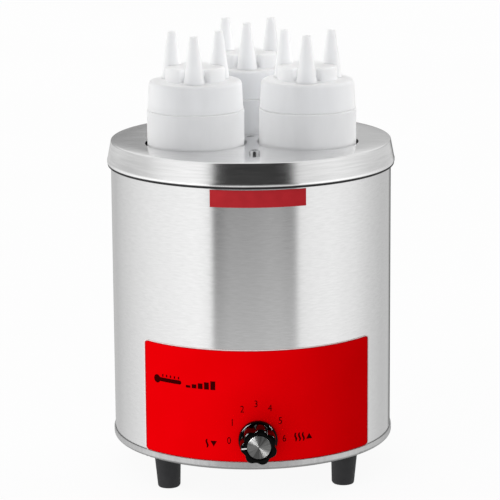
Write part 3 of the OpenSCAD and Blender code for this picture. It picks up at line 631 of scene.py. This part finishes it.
def lid_outline():
    """Half outline of the lid, from the flat top's edge outward and back under to it.

    Out: shallow crown, tight fold, skirt and round hem; lean and drop are the slopes they end at, in degrees.
    """
    flat_r = LID_R - 18.8
    crown_r, fold_r, hem_r = 124.0, 1.0, 1.1
    lean, drop = 7.0, 80.0
    skirt_foot = [(0.3, 3.2), (0.05, 2.6)]
    hem_back = [(2 * hem_r, 3), (1.6, 3.9), (1.3, 4.4)]
    outline = arc((flat_r, LID_TOP - crown_r), crown_r, 90, 90 - lean, 6)
    crown_end_r, crown_end_z = outline[-1]
    turn = math.radians(90 - lean)
    fold_at = (crown_end_r - fold_r * math.cos(turn), crown_end_z - fold_r * math.sin(turn))
    outline += arc(fold_at, fold_r, 90 - lean, 90 - drop, 8)[1:]
    skirt_r, skirt_z = outline[-1]
    outline += [(LID_R - inward, HEM_LOW + rise) for inward, rise in skirt_foot]
    outline += arc((LID_R - hem_r, HEM_LOW + hem_r), hem_r, 0, -180, 12)
    outline += [(LID_R - inward, HEM_LOW + rise) for inward, rise in hem_back]
    outline += [(skirt_r - LID_SHEET, skirt_z), (skirt_r - 1.5, LID_TOP - 1.3), (flat_r, LID_TOP - LID_SHEET)]
    return outline


def make_lid(material):
    """Spun lid: flat top with its holes, a shallow crown towards the rim, a tight fold and a hemmed skirt."""
    steps = 192
    bm = bmesh.new()
    rows = [ring(bm, Vector(), r, z, steps) for r, z in lid_outline()]
    skin(bm, rows)
    holes = [(at_turn(BOTTLE_AT, turn), BOTTLE_HOLE_R, 96) for turn in BOTTLE_TURNS.values()]
    holes += [(at_turn(SCREW_AT, turn), SCREW_HOLE_R, 24) for turn in SCREW_TURNS]
    holes += [(Vector(), VENT_R, 24)]
    top_loops, under_loops = [rows[0]], [rows[-1]]
    for centre, r, count in holes:
        top_loops.append(ring(bm, centre, r, LID_TOP, count))
        under_loops.append(ring(bm, centre, r, LID_TOP - LID_SHEET, count))
        skin(bm, [top_loops[-1], under_loops[-1]])
    for loops in (top_loops, under_loops):
        edges = []
        for loop in loops:
            for k in range(len(loop)):
                pair = (loop[k], loop[(k + 1) % len(loop)])
                edges.append(bm.edges.get(pair) or bm.edges.new(pair))
        bmesh.ops.triangle_fill(bm, edges=edges, use_beauty=True, normal=(0, 0, 1))
    piece = new_piece("spun_lid", mesh_of(bm, "spun_lid"), material, "lid", 30)
    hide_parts("lid")
    return piece


def make_lid_seal(material):
    """Round dark rubber cord just under the lid's hem. It is a dark thing put in the gap to the drum as
    painted shade, for the shadow that falls there.
    """
    cord_r, inward, drop, sides = 0.75, 1.1, 0.6, 12
    bm = bmesh.new()
    lathe(bm, arc((LID_R - inward, HEM_LOW - drop), cord_r, 0, 360 - 360 / sides, sides - 1), 192)
    # The cord is painted shade: it darkens the gap under the hem where the shadow falls.
    new_piece("lid_shade_cord", mesh_of(bm, "lid_shade_cord"), material, "lid", 60)


# Knob


def fluted(radius, depth, angle):
    """Radius of the grip at an angle: round lobes and scooped flutes, with one lobe at the pointer."""
    phase = math.cos(FLUTES * (angle - math.radians(180 + POINTER_DROOP)))
    return radius - depth * ((1 - phase) / 2) ** 1.6


def knob_rows():
    """Rows of the knob from its back edge to the disc's seat: (height, radius, flute depth)."""
    flange_h, rim, edge = 3.0, 1.3, 1.1
    deep, seat_deep, seat_r = 1.8, 0.6, 4.0
    edge_low = KNOB_H - edge
    rows = [(0.0, KNOB_R - 2, 0), (0.0, KNOB_R - 0.6, 0), (0.5, KNOB_R, 0)]
    for a in (0, 20, 45, 70, 88):
        turn = math.radians(a)
        rows += [(flange_h + rim * math.sin(turn), KNOB_R - rim + rim * math.cos(turn), 0)]
    rows += [(4.7, GRIP_R - 0.15, 0.2), (4.9, GRIP_R - 0.2, 1.2), (6.0, GRIP_R - 0.05, deep - 0.05)]
    rows += [(12.0, GRIP_R, deep), (edge_low - 0.8, GRIP_R, deep)]
    for a in (20, 45, 70, 90):
        turn = math.radians(a)
        rows += [(edge_low + edge * math.sin(turn), GRIP_R - edge + edge * math.cos(turn), deep - a / 140)]
    rows += [(KNOB_H, DISC_R + 1.5, 0.3), (KNOB_H, DISC_R + 0.6, 0), (KNOB_H - 0.2, DISC_R + 0.15, 0)]
    rows += [(KNOB_H - seat_deep, DISC_R + 0.05, 0), (KNOB_H - seat_deep, seat_r, 0)]
    return rows


def knob_ring(bm, height, radii):
    """One closed row of points round the knob's axis, in front of its back by a height."""
    count = len(radii)
    return [bm.verts.new((r * MM * math.cos(a), -(KNOB_BACK + height) * MM, (KNOB_Z + r * math.sin(a)) * MM))
            for r, a in ((radii[k], 2 * math.pi * k / count) for k in range(count))]


def skin_rows(bm, rows):
    """Faces between rows of as many points, and a lid over the last row."""
    skin(bm, rows)
    bm.faces.new(rows[-1])


def make_knob(material):
    """The fluted knob with its flange, its hollow back and the seat of its disc."""
    steps = 168
    angles = [2 * math.pi * k / steps for k in range(steps)]
    hollow = ((0.0, KNOB_R - 2), (0.3, 10.7), (3.7, 10.6), (4.0, 10.3))
    bm = bmesh.new()
    skin_rows(bm, [knob_ring(bm, height, [fluted(radius, depth, a) for a in angles])
                   for height, radius, depth in knob_rows()])
    skin_rows(bm, [knob_ring(bm, height, [radius] * steps) for height, radius in hollow])
    bmesh.ops.remove_doubles(bm, verts=bm.verts, dist=1e-6)
    piece = new_piece("fluted_knob", mesh_of(bm, "fluted_knob"), material, "knob", 50)
    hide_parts("knob")
    return piece


def make_disc(material):
    """The faced insert: a very shallow cone with a rolled edge and the small dimple of the lathe's centre."""
    back, face = KNOB_H - 0.55, KNOB_H + 0.22
    outline = [(0, back), (DISC_R - 0.25, back), (DISC_R, back + 0.2)]
    outline += [(DISC_R, face - 0.2), (DISC_R - 0.15, face - 0.04), (DISC_R - 0.55, face)]
    outline += [(4, face + 0.02), (0.8, face + 0.04), (0.35, face - 0.02), (0, face - 0.06)]
    bm = bmesh.new()
    lathe(bm, outline, 96, closed=False)
    turn = Matrix.Translation((0, -KNOB_BACK * MM, KNOB_Z * MM)) @ Matrix.Rotation(math.radians(90), 4, "X")
    bmesh.ops.transform(bm, matrix=turn, verts=bm.verts)
    piece = new_piece("spun_disc", mesh_of(bm, "spun_disc"), material, "knob", 30)
    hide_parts("knob_disc")
    return piece


# Print on the panel film


def on_film(x, z, proud):
    """A point of the flat print, laid on the drum: x is the length round it from the film's middle."""
    a = x / FILM_R + math.radians(FILM_TURN)
    r = (FILM_R + proud) * MM
    return Vector((r * math.sin(a), -r * math.cos(a), z * MM))


def print_patch(name, outline, ink):
    """A patch of ink from a closed outline of (x, z), cut into strips so that it lies round the drum."""
    bm = bmesh.new()
    bm.faces.new([bm.verts.new((x, 0, z)) for x, z in outline])
    low = min(x for x, z in outline)
    wide = max(x for x, z in outline) - low
    cuts = math.ceil(wide / PRINT_STEP)
    for k in range(1, cuts):
        everything = bm.verts[:] + bm.edges[:] + bm.faces[:]
        cut_at = (low + wide * k / cuts, 0, 0)
        bmesh.ops.bisect_plane(bm, geom=everything, plane_co=cut_at, plane_no=(1, 0, 0))
    for v in bm.verts:
        v.co = on_film(v.co.x, v.co.z, INK_PROUD)
    return new_piece(name, mesh_of(bm, name), ink, "base")


def print_digit(number, x, z, high, ink):
    """One number of the dial in a plain narrow face, centred on a point of the print."""
    narrow = 0.86
    curve = bpy.data.curves.new(f"digit_{number}", "FONT")
    curve.body = str(number)
    curve.resolution_u = 6
    letter = bpy.data.objects.new(f"digit_{number}", curve)
    bpy.context.scene.collection.objects.link(letter)
    bpy.context.view_layer.update()
    mesh = bpy.data.meshes.new_from_object(letter.evaluated_get(bpy.context.evaluated_depsgraph_get()))
    bpy.data.objects.remove(letter)
    xs = [v.co.x for v in mesh.vertices]
    ys = [v.co.y for v in mesh.vertices]
    mid_x, mid_y = (min(xs) + max(xs)) / 2, (min(ys) + max(ys)) / 2
    grow = high / (max(ys) - min(ys))
    for v in mesh.vertices:
        v.co = on_film(x + (v.co.x - mid_x) * grow * narrow, z + (v.co.y - mid_y) * grow, INK_PROUD)
    return new_piece(f"dial_number_{number}", mesh, ink, "base")


def heat_wave(x, z, high, thick):
    """Outline of one rising wave about its middle, the plain sign for heat."""
    steps, sway = 20, 0.5
    left, right = [], []
    for k in range(steps + 1):
        t = k / steps
        middle = x + sway * math.sin(2 * math.pi * t)
        half = thick * (0.6 + 0.4 * math.sin(math.pi * t)) / 2
        left.append((middle - half, z + (t - 0.5) * high))
        right.append((middle + half, z + (t - 0.5) * high))
    return right + left[::-1]


def arrowhead(x, z, wide, high):
    """Outline of a plain triangle about its middle; a negative height points down."""
    return [(x - wide / 2, z - high / 2), (x + wide / 2, z - high / 2), (x, z + high / 2)]


def bar(x, z, wide, high):
    """Outline of a plain bar from its lower left corner."""
    return [(x, z), (x + wide, z), (x + wide, z + high), (x, z + high)]


def make_dial_print(ink):
    """Numbers 0 to 6 round the knob, and at the ends of the scale the signs for low and high heat.

    Low is one wave and a falling arrowhead, high three waves and a rising one. Places are lengths round the
    drum from the film's middle and heights above the table.
    """
    middle_x, middle_z, wide, high = -2.25, 45.3, 20.0, 27.0
    lean, apart, digit_high = 1.2, 30, 5.0
    wave_high, wave_thick, waves_apart = 6.4, 1.5, 2.9
    arrow_wide, arrow_high = 4.8, 4.2
    low_z, low_wave_x, low_arrow_x = 41.7, -38.6, -33.6
    high_z, high_wave_x, high_arrow_x = 46.0, 26.2, 36.6
    for number in range(7):
        a = math.radians(180 + lean - apart * number)
        print_digit(number, middle_x + wide * math.cos(a), middle_z + high * math.sin(a), digit_high, ink)
    print_patch("low_heat_wave", heat_wave(low_wave_x, low_z, wave_high, wave_thick), ink)
    print_patch("low_heat_arrow", arrowhead(low_arrow_x, low_z, arrow_wide, -arrow_high), ink)
    for k in range(3):
        wave_x = high_wave_x + waves_apart * k
        print_patch(f"high_heat_wave_{k}", heat_wave(wave_x, high_z, wave_high, wave_thick), ink)
    print_patch("high_heat_arrow", arrowhead(high_arrow_x, high_z, arrow_wide, arrow_high), ink)


def make_scale_print(ink):
    """A lying thermometer with its marks, and five bars that grow with the heat."""
    left, middle, bulb_r, stem_r, stem_end = -83.4, 84.6, 3.1, 1.5, -60.0
    mark_x, marks_apart, mark_gap, mark_wide, mark_high = -75.4, 3.5, 0.7, 1.1, 1.9
    bar_x, bars_apart, bar_drop, bar_wide = -54.8, 4.8, 2.9, 3.6
    first_high, growth = 1.8, 1.15
    meet = math.degrees(math.asin(stem_r / bulb_r))
    outline = arc((left + bulb_r, middle), bulb_r, meet, 360 - meet, 24)
    outline += arc((stem_end, middle), stem_r, -90, 90, 8)
    print_patch("thermometer", outline, ink)
    for k in range(5):
        mark = bar(mark_x + marks_apart * k, middle + stem_r + mark_gap, mark_wide, mark_high)
        print_patch(f"thermometer_mark_{k}", mark, ink)
    for k in range(5):
        heat_bar = bar(bar_x + bars_apart * k, middle - bar_drop, bar_wide, first_high + growth * k)
        print_patch(f"heat_bar_{k}", heat_bar, ink)


def make_edge_band(name, outer_gap, inner_gap, proud, material):
    """A band along the film's rounded edge, between two distances out from that edge, in millimetres.

    The edge is drawn as seen from the front and then laid round the drum.
    """
    sunk = -0.2
    half = FILM_R * math.sin(math.radians(FILM_HALF))
    right, top, low = half - FILM_CORNER, FILM_TOP - FILM_CORNER, FILM_LOW + FILM_CORNER
    outer, inner = [], []
    for x, z, start in ((right, top, 0), (-right, top, 90), (-right, low, 180), (right, low, 270)):
        outer += arc((x, z), FILM_CORNER + outer_gap, start, start + 90, 6)
        inner += arc((x, z), FILM_CORNER + inner_gap, start, start + 90, 6)
    counts = [max(1, math.ceil(math.dist(p, q) / PRINT_STEP)) for p, q in zip(outer, outer[1:] + outer[:1])]
    bm = bmesh.new()
    rows = []
    for edge, height in ((outer, sunk), (outer, proud), (inner, proud), (inner, sunk)):
        row = []
        for (px, pz), (qx, qz), count in zip(edge, edge[1:] + edge[:1], counts):
            for k in range(count):
                x, z = px + (qx - px) * k / count, pz + (qz - pz) * k / count
                row.append(bm.verts.new(on_film(math.asin(x / FILM_R) * FILM_R, z, height)))
        rows.append(row)
    skin(bm, rows)
    new_piece(name, mesh_of(bm, name), material, "base")


# Stage


def make_floor(material):
    """A wide round table top for the camera; the drum takes its shine and light from the studio walls."""
    radii = (0, 300, 1000, 4000, 14000)
    bm = bmesh.new()
    lathe(bm, [(r, 0) for r in radii], 64, closed=False)
    data = mesh_of(bm, "table_top")
    floor = bpy.data.objects.new("table_top", data)
    bpy.context.scene.collection.objects.link(floor)
    data.materials.append(material)
    floor.visible_glossy = False
    floor.visible_diffuse = False


def make_camera():
    """The photograph's camera: a long lens in front of the object, a little to its left and above it."""
    data = bpy.data.cameras.new("camera")
    data.sensor_width = SENSOR
    data.lens = FOCAL_PIXELS / PHOTO_PIXELS * SENSOR
    data.shift_x = -(AXIS_PIXEL_X - PHOTO_PIXELS / 2) / PHOTO_PIXELS
    data.shift_y = (LEVEL_PIXEL_Y - PHOTO_PIXELS / 2) / PHOTO_PIXELS
    data.clip_start, data.clip_end = 0.05, 60
    camera = bpy.data.objects.new("camera", data)
    bpy.context.scene.collection.objects.link(camera)
    place = at_turn(CAMERA_AWAY, CAMERA_TURN) + Vector((0, 0, CAMERA_HEIGHT * MM))
    level = -Vector((place.x, place.y, 0)).normalized()
    pitch, roll = math.radians(CAMERA_PITCH), math.radians(CAMERA_ROLL)
    ahead = level * math.cos(pitch) - Vector((0, 0, 1)) * math.sin(pitch)
    right = ahead.cross(Vector((0, 0, 1))).normalized()
    up = right.cross(ahead)
    side = right * math.cos(roll) - up * math.sin(roll)
    head = right * math.sin(roll) + up * math.cos(roll)
    camera.matrix_world = Matrix((
        (side.x, head.x, -ahead.x, place.x),
        (side.y, head.y, -ahead.y, place.y),
        (side.z, head.z, -ahead.z, place.z),
        (0, 0, 0, 1),
    ))
    bpy.context.scene.camera = camera


# Studio walls: (turn from the front in degrees, level). Gloss mirrors these four, named from the floor up
NEAR_FLOOR = [
    (-180, 0.50), (-168, 0.62), (-150, 0.72), (-135, 0.90), (-110, 1.14), (-90, 1.29), (-70, 1.38),
    (-48, 1.46), (-37, 1.38), (-33, 1.05), (-26, 1.10), (-10, 1.05), (10, 1.05), (28, 1.12), (36, 1.2),
    (50, 1.31), (68, 1.34), (90, 1.20), (110, 0.98), (133, 0.77), (154, 0.70), (162.5, 0.14), (180, 0.14)]
BELOW_EYE = [
    (-180, 0.50), (-168, 0.62), (-150, 0.70), (-135, 0.90), (-110, 1.14), (-90, 1.28), (-70, 1.36),
    (-48, 1.44), (-36, 1.36), (-31.5, 0.06), (-26, 0.16), (-20, 0.30), (0, 0.33), (12, 0.40), (22, 0.36),
    (31, 0.22), (34, 0.40), (37.5, 1.24), (50, 1.31), (68, 1.33), (90, 1.20), (110, 0.97), (133, 0.76),
    (154, 0.68), (162.5, 0.14), (180, 0.14)]
ABOVE_EYE = [
    (-180, 0.26), (-160, 0.32), (-140, 0.46), (-120, 0.56), (-95, 0.68), (-80, 0.92), (-62, 1.07),
    (-42, 1.06), (-36, 0.85), (-30, 0.06), (-18, 0.02), (0, 0.02), (18, 0.02), (29, 0.08), (37, 0.80),
    (50, 0.87), (70, 0.95), (88, 0.86), (110, 0.68), (135, 0.52), (180, 0.50)]
CEILING = [
    (-180, 0.98), (-130, 0.90), (-80, 0.95), (-42, 1.05), (-36, 0.85), (-30, 0.04), (30, 0.04),
    (36, 0.80), (70, 0.92), (130, 0.88), (180, 0.98)]
# The light that all matt pieces get: bright behind on both sides, so that the bottles glow at their edges
SOFT_LIGHT = [
    (-180, 1.6), (-165, 2.1), (-118, 2.1), (-104, 0.9), (-75, 0.80), (-62, 1.30), (-50, 1.52), (-5, 1.42),
    (8, 1.00), (30, 0.68), (60, 0.18), (108, 0.15), (120, 2.1), (165, 2.1), (180, 1.6)]
# Level straight below and straight above the object
FAR_LEVEL = 0.5


def wall_light(tree, turn, stops):
    """Brightness of the studio walls by turn; a stop's level is at most BRIGHTEST."""
    ramp = add_node(tree, "ShaderNodeValToRGB", links={0: turn})
    elements = ramp.color_ramp.elements
    elements[0].color = grey(stops[0][1] / BRIGHTEST)
    elements[1].color = grey(stops[-1][1] / BRIGHTEST)
    for angle, level in stops[1:-1]:
        elements.new((angle + 180) / 360).color = grey(level / BRIGHTEST)
    return ramp.outputs[0]


def blend_upward(tree, height, low, high, under=None, over=None, change="LINEAR"):
    """One light below a band of height and another above it; the far level where none is given."""
    share = add_node(tree, "ShaderNodeMapRange", {"interpolation_type": change, 1: low, 2: high},
                     {0: height})
    far = grey(FAR_LEVEL / BRIGHTEST)
    lights = {socket: light for socket, light in ((6, under), (7, over)) if light}
    blended = add_node(tree, "ShaderNodeMix", {"data_type": "RGBA", 6: far, 7: far},
                       {0: share.outputs[0], **lights})
    return blended.outputs[2]


def mirrored_walls(tree, turn, height):
    """What all gloss mirrors: pale walls, dim behind the camera, and a dark card at the right rear."""
    near_floor = wall_light(tree, turn, NEAR_FLOOR)
    underfoot = blend_upward(tree, height, -0.65, -0.40, over=near_floor)
    lower = blend_upward(tree, height, -0.30, -0.19, underfoot, wall_light(tree, turn, BELOW_EYE))
    walls = blend_upward(tree, height, -0.10, 0.14, lower, wall_light(tree, turn, ABOVE_EYE), "SMOOTHSTEP")
    return blend_upward(tree, height, 0.21, 0.38, walls, wall_light(tree, turn, CEILING), "SMOOTHSTEP")


def make_studio():
    """One light for gloss and one for all that is matt, and a plain white ground for the camera."""
    world = bpy.data.worlds.new("studio")
    bpy.context.scene.world = world
    world.use_nodes = True
    tree = world.node_tree
    tree.nodes.clear()
    way = add_node(tree, "ShaderNodeTexCoord")
    axes = add_node(tree, "ShaderNodeSeparateXYZ", links={0: way.outputs["Generated"]})
    front = add_node(tree, "ShaderNodeMath", {"operation": "MULTIPLY", 1: -1.0}, {0: axes.outputs[1]})
    angle = add_node(tree, "ShaderNodeMath", {"operation": "ARCTAN2"},
                     {0: axes.outputs[0], 1: front.outputs[0]})
    turn = add_node(tree, "ShaderNodeMapRange", {1: -math.pi, 2: math.pi}, {0: angle.outputs[0]}).outputs[0]
    height = axes.outputs[2]
    mirrored = mirrored_walls(tree, turn, height)
    soft = blend_upward(tree, height, 0.2, 1.0, under=wall_light(tree, turn, SOFT_LIGHT))
    path = add_node(tree, "ShaderNodeLightPath")
    light = add_node(tree, "ShaderNodeMix", {"data_type": "RGBA"},
                     {0: path.outputs["Is Glossy Ray"], 6: soft, 7: mirrored})
    lit = add_node(tree, "ShaderNodeBackground", {"Strength": BRIGHTEST}, {"Color": light.outputs[2]})
    plain = add_node(tree, "ShaderNodeBackground", {"Color": grey(1.0), "Strength": 1.0})
    both = add_node(tree, "ShaderNodeMixShader",
                    links={0: path.outputs["Is Camera Ray"], 1: lit.outputs[0], 2: plain.outputs[0]})
    add_node(tree, "ShaderNodeOutputWorld", links={"Surface": both.outputs[0]})


def make_softbox(name, place, aim_height, side, power, shine, lit_pieces, shading_pieces):
    """A softbox that lights only some pieces, shaded only by some, aimed at the drum's axis at a height.

    Place and side are in metres and power in watts. With shine it only shows in their gloss, else it only
    lights them.
    """
    data = bpy.data.lights.new(name, "AREA")
    data.shape = "SQUARE"
    data.size = side
    data.energy = power
    lamp = bpy.data.objects.new(name, data)
    bpy.context.scene.collection.objects.link(lamp)
    aim = Vector((0, 0, aim_height * MM)) - Vector(place)
    lamp.matrix_world = Matrix.Translation(place) @ aim.to_track_quat("-Z", "Y").to_matrix().to_4x4()
    lamp.visible_diffuse = not shine
    lamp.visible_glossy = shine
    receivers = bpy.data.collections.new(f"{name}_receivers")
    for piece in lit_pieces:
        receivers.objects.link(piece)
    blockers = bpy.data.collections.new(f"{name}_blockers")
    for piece in shading_pieces:
        blockers.objects.link(piece)
    lamp.light_linking.receiver_collection = receivers
    lamp.light_linking.blocker_collection = blockers


# Dressing

stainless = brushed_stainless()
spun = satin_spun_stainless()
drawn = drawn_stainless()
plated = plated_steel()
milky = milky_polyethylene()
rubber = moulded_rubber()
ivory = ivory_phenolic()

NODE_FINISH = {
    "casing": stainless, "base_pan": drawn, "lid": spun,
    "water_well": drawn, "rack_plate": drawn, "rack_posts": drawn, "clamp_plate": drawn,
    "foot_screws": plated, "tie_stud": plated, "tie_nuts": plated, "thermostat_nut": plated,
    "thermostat_shaft": plated, "rack_nuts": plated, "lid_screws": plated,
    "foot_front_left": rubber, "foot_front_right": rubber,
    "foot_rear_left": rubber, "foot_rear_right": rubber,
    "cord_bushing": rubber, "panel_sheet": red_print_film(), "strip": dark_strip_film(),
    "insulation": needled_blanket(), "heating_ring": oxidised_sheath(), "sensor_bulb": drawn_copper(),
    "overheat_cutout": brown_phenolic(), "thermostat": ivory, "terminal_block": ivory,
    "wiring": silicone_sleeve(), "knob_pointer": white_inlay(), "knob": polished_phenolic(),
    "knob_disc": spun_aluminium(), "bottle_left": milky, "bottle_right": milky, "bottle_rear": milky,
    "cap_left": milky, "cap_right": milky, "cap_rear": milky,
}
for node, finish in NODE_FINISH.items():
    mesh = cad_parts[node].data
    mesh.materials.clear()
    mesh.materials.append(finish)

bottles_and_caps = [make(side, milky) for side in BOTTLE_TURNS for make in (make_bottle, make_cap)]
spun_lid = make_lid(spun)
make_lid_seal(rubber)
fluted_knob = make_knob(NODE_FINISH["knob"])
spun_disc = make_disc(NODE_FINISH["knob_disc"])
print_ink = dark_print_ink()
make_dial_print(print_ink)
make_scale_print(print_ink)
make_edge_band("film_margin", 0.6, 0.0, 0.0, clear_film_margin())
make_edge_band("film_outline", -0.02, -0.5, INK_PROUD, ink_outline())

make_floor(lit_table())
make_camera()
make_studio()
left_place, right_place, fill_place = (-1.66, -1.39, 1.35), (1.75, -1.2, 1.15), (1.9, -0.55, 0.75)
make_softbox("disc_glint", left_place, KNOB_Z, 1.6, 300.0, True, [spun_disc], [fluted_knob])
make_softbox("knob_glint_left", left_place, KNOB_Z, 1.4, 1000.0, True, [fluted_knob], [fluted_knob])
make_softbox("knob_glint_right", right_place, KNOB_Z, 0.6, 250.0, True, [fluted_knob], [fluted_knob])
shades = [spun_lid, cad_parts["casing"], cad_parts["water_well"]]
make_softbox("bottle_fill", fill_place, LID_TOP, 0.8, 17.0, False, bottles_and_caps, shades)
bpy.context.scene.view_settings.view_transform = "Standard"
